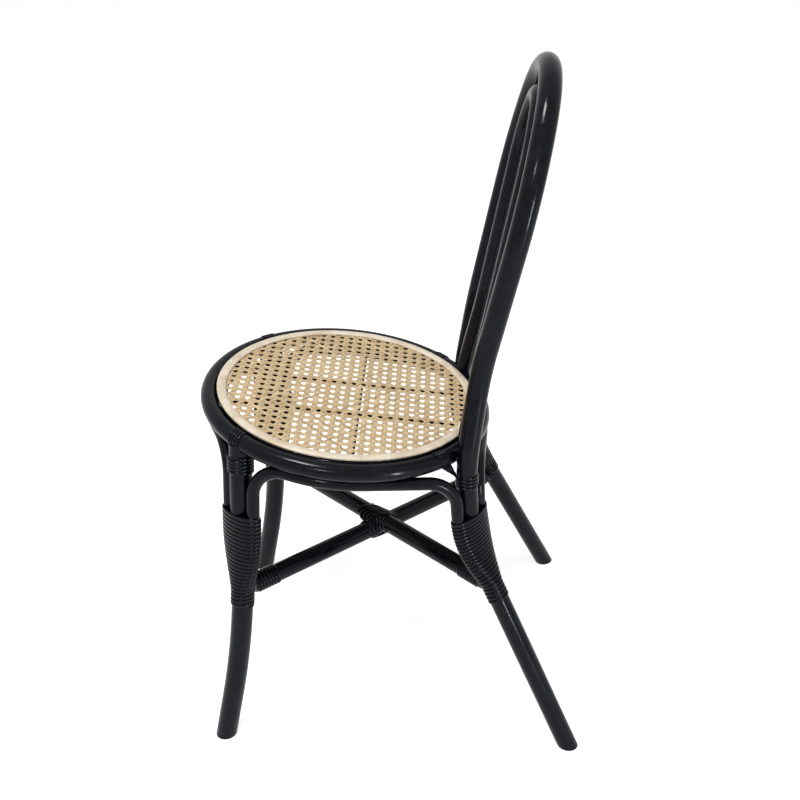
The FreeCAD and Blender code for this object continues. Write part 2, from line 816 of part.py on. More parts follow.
def make_border():
    """The border strip: a low arched section revolved round the seat's middle."""
    body = doc.addObject("PartDesign::Body", "border_body")
    sketch = body.newObject("Sketcher::SketchObject", "border_section")
    sketch.AttachmentSupport = (plane_of(body, "XZ_Plane"), [""])
    sketch.MapMode = "FlatFace"
    outer = size("border_radius")
    inner = outer - size("border_width")
    thick = size("border_thick")
    edge = thick * HALF
    corners = [V(inner, 0, 0), V(outer, 0, 0), V(outer, edge, 0), V(inner, edge, 0)]
    base = sketch.addGeometry(Part.LineSegment(corners[0], corners[1]), False)
    right = sketch.addGeometry(Part.LineSegment(corners[1], corners[2]), False)
    crown = sketch.addGeometry(
        Part.Arc(corners[2], V((inner + outer) * HALF, thick, 0), corners[3]), False
    )
    left = sketch.addGeometry(Part.LineSegment(corners[3], corners[0]), False)
    start, end = 1, 2
    crown_ends = (start, end)
    touching = sketch.getPoint(crown, start)
    if touching.x < (inner + outer) * HALF:
        crown_ends = (end, start)
    sketch.addConstraint(Sketcher.Constraint("Coincident", base, end, right, start))
    sketch.addConstraint(Sketcher.Constraint("Coincident", right, end, crown, crown_ends[0]))
    sketch.addConstraint(Sketcher.Constraint("Coincident", crown, crown_ends[1], left, start))
    sketch.addConstraint(Sketcher.Constraint("Coincident", left, end, base, start))
    sketch.addConstraint(Sketcher.Constraint("Horizontal", base))
    sketch.addConstraint(Sketcher.Constraint("Vertical", right))
    sketch.addConstraint(Sketcher.Constraint("Vertical", left))
    sketch.addConstraint(Sketcher.Constraint("PointOnObject", base, start, -1))
    sketch.addConstraint(Sketcher.Constraint("Equal", right, left))
    values = (
        ("DistanceX", (base, start, base, end), "border_width", inner - outer),
        ("DistanceX", (-1, 1, base, end), "border_radius", outer),
    )
    for kind, where, alias, value in values:
        index = sketch.addConstraint(Sketcher.Constraint(kind, *where, abs(value)))
        sketch.setExpression("Constraints[%d]" % index, bound(alias))
    index = sketch.addConstraint(Sketcher.Constraint("DistanceY", right, start, right, end, edge))
    sketch.setExpression("Constraints[%d]" % index, bound("border_thick") + " / 2")
    flat = (outer - inner) * HALF
    bulge = (flat**2 + (thick - edge) ** 2) / (2 * (thick - edge))
    index = sketch.addConstraint(Sketcher.Constraint("Radius", crown, bulge))
    rise = bound("border_thick") + " / 2"
    wide = bound("border_width") + " / 2"
    sketch.setExpression(
        "Constraints[%d]" % index, "((%s)^2 + (%s)^2) / (2 * (%s))" % (wide, rise, rise)
    )
    doc.recompute()
    revolve = body.newObject("PartDesign::Revolution", "border_strip")
    revolve.Profile = sketch
    revolve.ReferenceAxis = (sketch, ["V_Axis"])
    revolve.Angle = 360
    body.Placement = in_seat(0, 0, WEBBING_TOP)
    doc.recompute()
    return body


keep(make_border(), "webbing_border")

# Windings of peel.


def biarc(p0, t0, p1, t1):
    """Two arcs that leave p0 along t0 and reach p1 along t1."""
    v = p1 - p0
    t = t0 + t1
    along = v.dot(t)
    spread = 2 * (1 - t0.dot(t1))
    if spread < SAME_POINT:
        reach = v.dot(v) / (4 * v.dot(t0))
    else:
        reach = (-along + math.sqrt(along**2 + spread * v.dot(v))) / spread
    q0 = p0 + t0 * reach
    q1 = p1 - t1 * reach
    joint = (q0 + q1) * HALF
    edges = []
    for a, corner, b in ((p0, q0, joint), (joint, q1, p1)):
        chord = (a + b) * HALF
        height = corner - chord
        length = (b - a).Length * HALF
        if height.Length < SAME_POINT:
            edges.append(Part.LineSegment(a, b).toShape())
            continue
        sagitta = length * math.tan(math.atan2(height.Length, length) * HALF)
        edges.append(Part.Arc(a, chord + unit(height) * sagitta, b).toShape())
    return edges


def winding(name, turns, steps, point, axis, width):
    """One strand of peel wound along a curve.

    The function gives the curve's point for a number of turns.  The strand's section is a low
    triangle, flat against the pole, square to the axis."""
    count = int(round(turns * steps))
    delta = 0.01 / steps
    stations = []
    for n in range(count + 1):
        at = n / steps
        stations.append((point(at), unit(point(at + delta) - point(at - delta))))
    edges = []
    for (p0, t0), (p1, t1) in zip(stations, stations[1:]):
        edges += biarc(p0, t0, p1, t1)
    spine = Part.Wire(edges)
    centre, tangent = stations[0]
    up = across(axis, tangent)
    out = tangent.cross(up)
    middle = (point(0) + point(HALF)) * HALF
    if out.dot(centre - middle) < 0:
        out = out * -1
    corners = [
        centre - up * (width * HALF) - out * (STRAND * HALF),
        centre + up * (width * HALF) - out * (STRAND * HALF),
        centre + out * (STRAND * HALF),
    ]
    shell = Part.BRepOffsetAPI.MakePipeShell(spine)
    shell.setBiNormalMode(axis)
    shell.add(Part.makePolygon(corners + corners[:1]))
    shell.build()
    shell.makeSolid()
    print(name, "turns", turns, "least gap", round(least_gap(point, turns, width, axis), 2))
    return shell.shape()


def least_gap(point, turns, width, axis):
    """The least distance along the axis between a strand's turns, less its width."""
    samples = 24
    gaps = []
    for n in range(int((turns - 1) * samples) + 1):
        here = point(n / samples)
        above = point(n / samples + 1)
        gaps.append(abs((above - here).dot(axis)) - width)
    return min(gaps)


def leg_binding(name, bend, aside, leg_radius, ease, low, drop, space, side):
    """Turns round a leg and the arches' tails beside it, tapering to the bare leg."""
    top = size("seat_height") - drop
    turns = size("leg_binding_turns")
    pitch = (top - low) / turns
    bare = PARE_END - size("binding_lead")
    axis = unit(bend(top) - bend(low))
    deep = leg_radius + ease + STRAND * HALF

    def point(at):
        height = low + at * pitch
        along = unit(bend(height + 1) - bend(height - 1))
        u = across(aside, along)
        w = along.cross(u)
        share = min(max((height - bare) / (PARE_TOP - bare), 0.0), 1.0)
        wide = deep + (4 * GAP + 2 * ARCH) * math.sin(math.pi * HALF * share)
        angle = 2 * math.pi * at
        place = bend(height) + u * (wide * math.cos(angle)) + w * (deep * math.sin(angle))
        return to_side(place, side)

    shape = winding(name, turns, 4, point, to_side(axis, side), pitch - space)
    return keep(feature(name, shape), name)


for word, side in SIDES:
    leg_binding(
        "front_binding_" + word, front_bend, FRONT_ALONG, LEG, BINDING_GAP,
        size("front_binding_low"), size("front_binding_drop"), size("strand_space"), side,
    )
    leg_binding(
        "rear_binding_" + word, rear_bend, POST_ALONG, POST, size("knee_binding_gap"),
        size("rear_binding_low"), size("rear_binding_drop"), size("knee_strand_space"), side,
    )

# Ties under the ring, at the stretchers' ends and over their crossing.


def round_winding(name, start, axis, radius, turns, pitch, side):
    """Turns round one straight pole, from a point on its middle along its axis."""
    u = across(V(0, 0, 1), axis) if abs(axis.z) < HALF else across(V(1, 0, 0), axis)
    w = axis.cross(u)
    reach = radius + BINDING_GAP + STRAND * HALF

    def point(at):
        angle = 2 * math.pi * at
        spoke = u * math.cos(angle) + w * math.sin(angle)
        return to_side(start + axis * (pitch * at) + spoke * reach, side)

    width = pitch - size("strand_space")
    return winding(name, turns, 2, point, to_side(axis, side), width)


def make_ring_tie(name, top, direction, pole, side):
    shape = round_winding(
        name, top, unit(direction), pole, size("tie_turns"), size("tie_pitch"), side
    )
    return keep(feature(name, shape), name)


TIE_DROP = size("tie_drop") + size("tie_pitch") * HALF
for word, side in SIDES:
    down = unit(front_knee - front_top)
    start = front_line(front_top.z - TIE_DROP)
    make_ring_tie("front_tie_" + word, start, down, LEG, side)
    start = post_bend(post_seat.z - TIE_DROP)
    down = post_bend(post_seat.z - TIE_DROP - size("tie_turns") * size("tie_pitch")) - start
    make_ring_tie("rear_tie_" + word, start, down, POST, side)


def make_end_tie(name, leg_centre, far_end, wound_radius):
    axis = unit(far_end - leg_centre)
    start = leg_centre + axis * (wound_radius + size("end_clear"))
    turns = size("end_turns")
    shape = round_winding(name, start, axis, STRETCHER, turns, size("end_pitch"), 1)
    return keep(feature(name, shape), name)


make_end_tie("stretcher_tie_front_left", low_front, low_rear, FRONT_WOUND)
make_end_tie("stretcher_tie_rear_right", low_rear, low_front, REAR_WOUND)
make_end_tie("stretcher_tie_front_right", high_front, high_rear, FRONT_WOUND)
make_end_tie("stretcher_tie_rear_left", high_rear, high_front, REAR_WOUND)


def crossing():
    """The middle between the stretchers where they cross, and how far apart they are."""
    a = low_front
    b = low_rear - low_front
    c = high_front
    d = high_rear - high_front
    share = ((c.x - a.x) * d.y - (c.y - a.y) * d.x) / (b.x * d.y - b.y * d.x)
    on_low = a + b * share
    return V(on_low.x, on_low.y, (on_low.z + HIGH) * HALF), HIGH - on_low.z


def make_lashing(name, axis, layer):
    """Turns round both stretchers, along one of the two lines that halve their crossing."""
    middle, apart = crossing()
    turns = size("lash_turns")
    pitch = size("lash_pitch")
    inset = BINDING_GAP + STRAND * HALF + layer * size("lash_layer")
    reach = turns * pitch * HALF
    lean = unit(low_rear - low_front).getAngle(axis)
    lean = min(lean, math.pi - lean)
    aside = axis.cross(V(0, 0, 1))
    wide = (STRETCHER + reach * math.sin(lean)) / math.cos(lean) + inset + size("lash_wide")
    deep = STRETCHER + apart * HALF + inset + size("lash_deep")

    def point(at):
        angle = 2 * math.pi * at
        spoke = aside * (wide * math.cos(angle)) + V(0, 0, deep * math.sin(angle))
        return middle + axis * (pitch * at - reach) + spoke

    shape = winding(name, turns, 4, point, axis, pitch - size("strand_space"))
    return keep(feature(name, shape), name)


make_lashing("lashing_lengthwise", V(0, 1, 0), 0)
make_lashing("lashing_crosswise", V(1, 0, 0), 1)

# Fasteners.


def fasteners(name, shapes):
    return keep(feature(name, Part.makeCompound(shapes)), name)


def both_sides(shape):
    return [shape, mirror_shape(shape)]


def dowel(ends):
    return cylinder_between(ends[0], ends[1], size("dowel_radius"))


fasteners("front_leg_dowels", both_sides(dowel(front_dowel)))
fasteners("inner_hoop_dowels", both_sides(dowel(inner_dowel)))
fasteners("post_screws", both_sides(screw_shape(*post_screw)))

# Write the pieces.

doc.recompute()
for item in doc.Objects:
    if "Invalid" in item.State or "Error" in item.State:
        raise RuntimeError("failed object: " + item.Label)
os.makedirs("parts", exist_ok=True)
for item in pieces:
    shape = item.Shape
    if shape.isNull() or not shape.isValid():
        raise RuntimeError("bad shape: " + item.Label)
    shape.exportStep(os.path.join("parts", item.Label + ".step"))
print("pieces", len(pieces))
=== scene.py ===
# %% [markdown]
# # A painted rattan bistro chair with a cane seat
#
# The chair's solids come in as a fixed frame, and this lesson dresses them.  The poles keep
# their own shape and get a black satin paint.  The seat's plain disc gives way to a woven
# cane sheet, and every plain winding gives way to a finer one of flat peel.  Everything is in
# metres, on the same origin as the solids: the floor's height is zero and the front is -Y.

import json
import math

import bpy
from mathutils import Matrix, Vector


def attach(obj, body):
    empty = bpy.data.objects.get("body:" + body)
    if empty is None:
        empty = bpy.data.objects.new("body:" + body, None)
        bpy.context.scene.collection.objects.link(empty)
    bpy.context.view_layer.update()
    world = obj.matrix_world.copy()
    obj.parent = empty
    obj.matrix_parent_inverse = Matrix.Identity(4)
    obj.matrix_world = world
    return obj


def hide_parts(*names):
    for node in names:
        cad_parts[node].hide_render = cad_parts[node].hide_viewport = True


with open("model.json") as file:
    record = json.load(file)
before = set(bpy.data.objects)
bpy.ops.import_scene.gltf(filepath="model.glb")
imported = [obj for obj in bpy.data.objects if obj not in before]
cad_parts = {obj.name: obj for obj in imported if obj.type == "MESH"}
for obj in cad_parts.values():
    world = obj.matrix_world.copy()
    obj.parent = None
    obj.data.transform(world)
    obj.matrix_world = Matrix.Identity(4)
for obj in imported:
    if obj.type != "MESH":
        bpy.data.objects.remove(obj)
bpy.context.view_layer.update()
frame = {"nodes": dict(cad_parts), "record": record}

# %% [markdown]
# ## The camera
#
# The photograph looks at the chair's left side from a little over the seat.  The camera's
# place, tilt and focal length were solved from the feet, the seat ring and the back hoop.  A
# small lens shift stands for the crop of the picture.

# %% Camera
CAMERA_AT = Vector((1.2580, 0.0633, 1.1588))
CAMERA_TURN = -0.0092
CAMERA_DOWN = 0.5509
CAMERA_ROLL = -0.0013

look = Vector(
    (
        -math.cos(CAMERA_TURN) * math.cos(CAMERA_DOWN),
        math.sin(CAMERA_TURN) * math.cos(CAMERA_DOWN),
        -math.sin(CAMERA_DOWN),
    )
)
right = look.cross(Vector((0, 0, 1))).normalized()
above = right.cross(look)
camera = bpy.data.objects.new("camera", bpy.data.cameras.new("camera"))
bpy.context.scene.collection.objects.link(camera)
turn = Matrix((right, above, -look)).transposed().to_4x4()
camera.matrix_world = (
    Matrix.Translation(CAMERA_AT) @ turn @ Matrix.Rotation(CAMERA_ROLL, 4, "Z")
)
camera.data.lens = 47.5
camera.data.sensor_width = 36.0
camera.data.shift_x = -0.0412
camera.data.shift_y = 0.0429
bpy.context.scene.camera = camera
bpy.context.scene.view_settings.view_transform = "Standard"
print("camera at", tuple(round(v, 3) for v in CAMERA_AT))

# %% [markdown]
# ## Building materials from nodes
#
# Every finish is a small tree of shader nodes.  A few short helpers keep the trees readable:
# one adds a node and sets its inputs, and one joins two sockets.

# %% Node helpers


def add_node(tree, kind, **inputs):
    """A node of a kind, with its inputs set by name."""
    node = tree.nodes.new(kind)
    for name, value in inputs.items():
        node.inputs[name.replace("_", " ")].default_value = value
    return node


def join(tree, source, target):
    tree.links.new(source, target)


def new_material(name):
    """An empty material and its Principled shader."""
    material = bpy.data.materials.new(name)
    material.use_nodes = True
    shader = material.node_tree.nodes["Principled BSDF"]
    return material, material.node_tree, shader


def ramp_between(tree, low, high, low_colour, high_colour):
    """A colour ramp from one colour to another over part of its range."""
    ramp = tree.nodes.new("ShaderNodeValToRGB")
    ramp.color_ramp.elements[0].position = low
    ramp.color_ramp.elements[1].position = high
    ramp.color_ramp.elements[0].color = (*low_colour, 1)
    ramp.color_ramp.elements[1].color = (*high_colour, 1)
    return ramp


def spread_over(tree, source, low, high):
    """A value from 0 to 1, spread from low to high."""
    node = tree.nodes.new("ShaderNodeMapRange")
    node.inputs["To Min"].default_value = low
    node.inputs["To Max"].default_value = high
    join(tree, source, node.inputs["Value"])
    return node.outputs["Result"]


# %% [markdown]
# ## Two effects that several finishes share
#
# Brushed paint pools and thins over a natural pole, so its gloss is mottled at two scales, and
# the skin under it has fine lumps, longer upwards than across.  Split cane has long fibres that
# run with the strand.  The same nodes could be copied into each material, but then a change
# would have to be made many times.  So each effect is a node group with its own inputs, and
# every finish places it with its own values.

# %% Shared node groups


def new_group(name, inputs, outputs):
    group = bpy.data.node_groups.new(name, "ShaderNodeTree")
    for label, kind, value in inputs:
        socket = group.interface.new_socket(name=label, in_out="INPUT", socket_type=kind)
        if value is not None:
            socket.default_value = value
    for label, kind in outputs:
        group.interface.new_socket(name=label, in_out="OUTPUT", socket_type=kind)
    return group, group.nodes.new("NodeGroupInput"), group.nodes.new("NodeGroupOutput")


def make_mottling_group():
    """Broad patches and fine lumps of brushed paint, both from 0 to 1."""
    group, entry, leave = new_group(
        "mottling",
        [
            ("Place", "NodeSocketVector", None),
            ("Patch scale", "NodeSocketFloat", 22.0),
            ("Lump scale", "NodeSocketFloat", 240.0),
        ],
        [("Patches", "NodeSocketFloat"), ("Lumps", "NodeSocketFloat")],
    )
    broad = add_node(group, "ShaderNodeTexNoise", Detail=3.0, Roughness=0.6, Distortion=0.4)
    fine = add_node(group, "ShaderNodeTexNoise", Detail=4.0, Roughness=0.55)
    squeeze = add_node(group, "ShaderNodeVectorMath")
    squeeze.operation = "MULTIPLY"
    squeeze.inputs[1].default_value = (1.0, 1.0, 0.35)
    join(group, entry.outputs["Place"], squeeze.inputs[0])
    join(group, entry.outputs["Place"], broad.inputs["Vector"])
    join(group, squeeze.outputs[0], fine.inputs["Vector"])
    join(group, entry.outputs["Patch scale"], broad.inputs["Scale"])
    join(group, entry.outputs["Lump scale"], fine.inputs["Scale"])
    join(group, broad.outputs["Fac"], leave.inputs["Patches"])
    join(group, fine.outputs["Fac"], leave.inputs["Lumps"])
    return group


def make_fibre_group():
    """Long streaks along a strand's own length, and the strand's tone, from 0 to 1."""
    group, entry, leave = new_group(
        "fibres",
        [
            ("Along and across", "NodeSocketVector", None),
            ("Length scale", "NodeSocketFloat", 60.0),
            ("Width scale", "NodeSocketFloat", 9.0),
        ],
        [("Streaks", "NodeSocketFloat"), ("Tone", "NodeSocketFloat")],
    )
    parts = group.nodes.new("ShaderNodeSeparateXYZ")
    stretch = group.nodes.new("ShaderNodeCombineXYZ")
    slow = group.nodes.new("ShaderNodeCombineXYZ")
    long_way = add_node(group, "ShaderNodeMath")
    long_way.operation = "MULTIPLY"
    wide_way = add_node(group, "ShaderNodeMath")
    wide_way.operation = "MULTIPLY"
    strand = add_node(group, "ShaderNodeMath")
    strand.operation = "FLOOR"
    streaks = add_node(group, "ShaderNodeTexNoise", Scale=1.0, Detail=5.0, Roughness=0.65)
    tone = add_node(group, "ShaderNodeTexNoise", Scale=7.3, Detail=2.0)
    join(group, entry.outputs["Along and across"], parts.inputs[0])
    join(group, parts.outputs["X"], long_way.inputs[0])
    join(group, entry.outputs["Length scale"], long_way.inputs[1])
    join(group, parts.outputs["Y"], wide_way.inputs[0])
    join(group, entry.outputs["Width scale"], wide_way.inputs[1])
    join(group, long_way.outputs[0], stretch.inputs["X"])
    join(group, wide_way.outputs[0], stretch.inputs["Y"])
    join(group, parts.outputs["Y"], strand.inputs[0])
    join(group, strand.outputs[0], slow.inputs["Y"])
    join(group, parts.outputs["X"], slow.inputs["X"])
    join(group, stretch.outputs[0], streaks.inputs["Vector"])
    join(group, slow.outputs[0], tone.inputs["Vector"])
    join(group, streaks.outputs["Fac"], leave.inputs["Streaks"])
    join(group, tone.outputs["Fac"], leave.inputs["Tone"])
    return group


mottling = make_mottling_group()
fibres = make_fibre_group()
print("shared effects:", mottling.name, fibres.name)


def place_group(tree, group, vector, **inputs):
    node = tree.nodes.new("ShaderNodeGroup")
    node.node_tree = group
    for name, value in inputs.items():
        node.inputs[name.replace("_", " ")].default_value = value
    join(tree, vector, node.inputs[0])
    return node


# %% [markdown]
# ## Black satin paint
#
# The poles and their peel are painted a blue-tinted black.  The gloss is satin and uneven, so
# the light breaks into patches along each pole.  Paint could be one even colour, but then the
# poles would look like plastic.  So the patches drive the roughness and a little of the colour,
# and the lumps drive a bump.  A thin coat over it gives the sharper highlight of the varnish.

# %% Painted finishes
PAINT_DARK = (0.0012, 0.0014, 0.0025)
PAINT_LIGHT = (0.0042, 0.0050, 0.0092)


def make_paint(name, rough_low, rough_high, lump_height, patch_scale, lump_scale):
    material, tree, shader = new_material(name)
    place = tree.nodes.new("ShaderNodeTexCoord").outputs["Object"]
    spots = place_group(
        tree, mottling, place, Patch_scale=patch_scale, Lump_scale=lump_scale
    )
    colour = ramp_between(tree, 0.35, 0.7, PAINT_DARK, PAINT_LIGHT)
    join(tree, spots.outputs["Patches"], colour.inputs["Fac"])
    join(tree, colour.outputs["Color"], shader.inputs["Base Color"])
    rough = spread_over(tree, spots.outputs["Patches"], rough_low, rough_high)
    join(tree, rough, shader.inputs["Roughness"])
    bump = add_node(tree, "ShaderNodeBump", Strength=0.7, Distance=lump_height)
    join(tree, spots.outputs["Lumps"], bump.inputs["Height"])
    join(tree, bump.outputs["Normal"], shader.inputs["Normal"])
    shader.inputs["Specular IOR Level"].default_value = 0.05
    shader.inputs["Coat Weight"].default_value = 0.16
    shader.inputs["Coat Roughness"].default_value = 0.1
    return material


pole_paint = make_paint("black_pole_paint", 0.10, 0.36, 0.00028, 75.0, 230.0)
peel_paint = make_paint("black_peel_paint", 0.12, 0.34, 0.00016, 90.0, 420.0)
print("painted finishes:", pole_paint.name, peel_paint.name)

# %% [markdown]
# ## Natural cane
#
# The seat is unpainted cane.  Its strands differ in tone from straw to tan, have fine fibres
# along them and a slight natural gloss.  A picture of cane could be stretched over the seat,
# but the fibres would not follow each strand.  So the fibres use the strand's own coordinates.

# %% Cane finishes


def make_cane(name, dark, light, length_scale, width_scale, rough):
    material, tree, shader = new_material(name)
    place = tree.nodes.new("ShaderNodeTexCoord").outputs["UV"]
    grain = place_group(
        tree, fibres, place, Length_scale=length_scale, Width_scale=width_scale
    )
    blend = add_node(tree, "ShaderNodeMath")
    blend.operation = "ADD"
    join(tree, grain.outputs["Streaks"], blend.inputs[0])
    join(tree, grain.outputs["Tone"], blend.inputs[1])
    halve = spread_over(tree, blend.outputs[0], 0.0, 1.0)
    halve.node.inputs["From Max"].default_value = 2.0
    colour = ramp_between(tree, 0.36, 0.62, dark, light)
    join(tree, halve, colour.inputs["Fac"])
    join(tree, colour.outputs["Color"], shader.inputs["Base Color"])
    gloss = spread_over(tree, grain.outputs["Streaks"], rough - 0.1, rough + 0.12)
    join(tree, gloss, shader.inputs["Roughness"])
    bump = add_node(tree, "ShaderNodeBump", Strength=0.5, Distance=0.00015)
    join(tree, grain.outputs["Streaks"], bump.inputs["Height"])
    join(tree, bump.outputs["Normal"], shader.inputs["Normal"])
    return material


cane_skin = make_cane(
    "natural_cane", (0.35, 0.21, 0.09), (0.76, 0.59, 0.35), 60.0, 9.0, 0.42
)
print("cane finish:", cane_skin.name)


# %% [markdown]
# The border strip is a wider, paler piece of cane.  It is a solid of the frame with no strand
# coordinates, so soft patches and lumps take the place of fibres.  Steel and bare wood are for
# the screws and dowels inside the joints.

# %% Border, steel and dowel finishes


def make_border_finish():
    material, tree, shader = new_material("border_cane")
    place = tree.nodes.new("ShaderNodeTexCoord").outputs["Object"]
    spots = place_group(tree, mottling, place, Patch_scale=30.0, Lump_scale=500.0)
    colour = ramp_between(tree, 0.3, 0.75, (0.57, 0.45, 0.31), (0.82, 0.73, 0.60))
    join(tree, spots.outputs["Patches"], colour.inputs["Fac"])
    join(tree, colour.outputs["Color"], shader.inputs["Base Color"])
    join(tree, spread_over(tree, spots.outputs["Lumps"], 0.3, 0.5), shader.inputs["Roughness"])
    bump = add_node(tree, "ShaderNodeBump", Strength=0.4, Distance=0.0002)
    join(tree, spots.outputs["Lumps"], bump.inputs["Height"])
    join(tree, bump.outputs["Normal"], shader.inputs["Normal"])
    return material


def make_plain(name, dark, light, metal, rough_low, rough_high):
    material, tree, shader = new_material(name)
    place = tree.nodes.new("ShaderNodeTexCoord").outputs["Object"]
    spots = place_group(tree, mottling, place, Patch_scale=120.0, Lump_scale=900.0)
    colour = ramp_between(tree, 0.3, 0.7, dark, light)
    join(tree, spots.outputs["Lumps"], colour.inputs["Fac"])
    join(tree, colour.outputs["Color"], shader.inputs["Base Color"])
    rough = spread_over(tree, spots.outputs["Patches"], rough_low, rough_high)
    join(tree, rough, shader.inputs["Roughness"])
    shader.inputs["Metallic"].default_value = metal
    return material


border_cane = make_border_finish()
screw_steel = make_plain("screw_steel", (0.35, 0.34, 0.32), (0.6, 0.59, 0.57), 1.0, 0.25, 0.45)
dowel_wood = make_plain("dowel_beech", (0.48, 0.32, 0.18), (0.66, 0.47, 0.29), 0.0, 0.5, 0.7)
print("finishes:", [m.name for m in bpy.data.materials])

# %% [markdown]
# ## Dressing the solids
#
# A solid of the frame stays where its shape is right.  Remaking the poles as curves would only
# repeat it, so each solid gets its finish and smooth shading, which hides the facets of the
# bent poles.

# %% Finishes on the solids
SLOT_FINISH = {
    "frame": pole_paint,
    "peel": peel_paint,
    "cane": cane_skin,
    "border": border_cane,
    "steel": screw_steel,
    "dowel": dowel_wood,
}
for part in frame["record"]["subparts"]:
    solid = frame["nodes"][part["node"]]
    solid.data.materials.clear()
    solid.data.materials.append(SLOT_FINISH[part["material_slot"]])
    for face in solid.data.polygons:
        face.use_smooth = True

# %% [markdown]
# ## The chair's own lines
#
# Bindings follow the legs, so this cell repeats the chair's sizes in millimetres and works out
# the middle line of a leg at any height.  The left leg is worked out, and the right one is its
# mirror image.

# %% Sizes and leg lines
MM = 0.001
SEAT_HEIGHT = 445.0
SEAT_SLOPE = math.radians(6.8)
SEAT_FORWARD = 65.5
RING_RADIUS = 185.0
RING_POLE = 11.5
POST = 13.6
LEG = 14.5
STRETCHER = 12.6
POST_GAP = 0.3
NAPE_OUT = 0.7
NAPE_DROP = 5.7
NAPE_BEND = 220.0
WAIST_SIDE = 110.5
WAIST_RISE = 119.4
WAIST_LEAN = math.radians(7.7)
REAR_KNEE_BEND = 230.0
FRONT_KNEE_Y = -206.0
FRONT_KNEE_Z = 170.0
FRONT_KNEE_BEND = 1300.0
POST_TURN = math.radians(50.2)
LEG_TURN = math.radians(-42.0)
SEAT_CENTRE = Vector((0, -SEAT_FORWARD, SEAT_HEIGHT))
SEAT_UP = Vector((0, math.sin(SEAT_SLOPE), math.cos(SEAT_SLOPE)))
SEAT_BACK = Vector((0, math.cos(SEAT_SLOPE), -math.sin(SEAT_SLOPE)))
SEAT_LEFT = Vector((1, 0, 0))


def on_seat(x, y, z=0.0):
    """A point given from the seat's centre, in the plane of the ring."""
    return SEAT_CENTRE + SEAT_LEFT * x + SEAT_BACK * y + SEAT_UP * z


def out_of_ring(angle):
    return SEAT_LEFT * math.cos(angle) + SEAT_BACK * math.sin(angle)


def along_ring(angle):
    return SEAT_BACK * math.cos(angle) - SEAT_LEFT * math.sin(angle)


def on_ring(angle, radius, z=0.0):
    return SEAT_CENTRE + out_of_ring(angle) * radius + SEAT_UP * z


def at_height(a, b, z):
    return a + (b - a) * ((z - a.z) / (b.z - a.z))


rear_foot = Vector((209.0, 243.5, 0))
rear_knee = Vector((136.2, 102.4, 310.0))
nape = on_ring(POST_TURN, RING_RADIUS + RING_POLE + POST + POST_GAP + NAPE_OUT, -NAPE_DROP)
waist = Vector(
    (
        WAIST_SIDE,
        nape.y + WAIST_RISE * math.sin(WAIST_LEAN),
        nape.z + WAIST_RISE * math.cos(WAIST_LEAN),
    )
)
front_foot = Vector((191.0, -243.5, 0))
front_top = on_ring(LEG_TURN, RING_RADIUS, -3.0)
front_knee = at_height(front_foot, front_top, FRONT_KNEE_Z)
front_knee.y = FRONT_KNEE_Y


def bend_line(foot, knee, top, radius, height):
    """The middle of a bent pole at a height: two straight runs and the arc between them."""
    d1 = (knee - top).normalized()
    d2 = (foot - knee).normalized()
    turn = d1.angle(d2)
    first = knee - d1 * (radius * math.tan(turn / 2))
    last = knee + d2 * (radius * math.tan(turn / 2))
    if height >= first.z:
        return at_height(knee, top, height)
    if height <= last.z:
        return at_height(foot, knee, height)
    centre = knee + (d2 - d1).normalized() * (radius / math.cos(turn / 2))
    low, high = 0.0, 1.0
    for _ in range(30):
        share = (low + high) / 2
        spoke = (first - centre) * math.sin((1 - share) * turn)
        spoke += (last - centre) * math.sin(share * turn)
        point = centre + spoke / math.sin(turn)
        if point.z > height:
            low = share
        else:
            high = share
    return point


def rear_line(height):
    return bend_line(rear_foot, rear_knee, nape, REAR_KNEE_BEND, height)


def post_line(height):
    return bend_line(rear_knee, nape, waist, NAPE_BEND, height)


def front_line(height):
    return bend_line(front_foot, front_knee, front_top, FRONT_KNEE_BEND, height)


def to_side(point, side):
    return Vector((point.x * side, point.y, point.z))


print("knee at", tuple(round(v) for v in rear_line(rear_knee.z)))

# %% [markdown]
# ## One strand of peel
#
# Peel is the split skin of the vine: flat underneath, with a low crown and soft edges.  A
# bevelled curve could stand for it, but it twists freely.  So one function lays such a strand
# along any line of points, with an outward direction at each point.  It keeps the length and
# the place across the strand as texture coordinates, so that fibres can follow it.  Several
# strands make one mesh, which is quick to move and shade.

# %% The strand maker
CROWN = (
    (-0.5, 0.0),
    (-0.47, 0.55),
    (-0.25, 0.9),
    (0.0, 1.0),
    (0.25, 0.9),
    (0.47, 0.55),
    (0.5, 0.0),
)
UV_WIDTH = 0.9


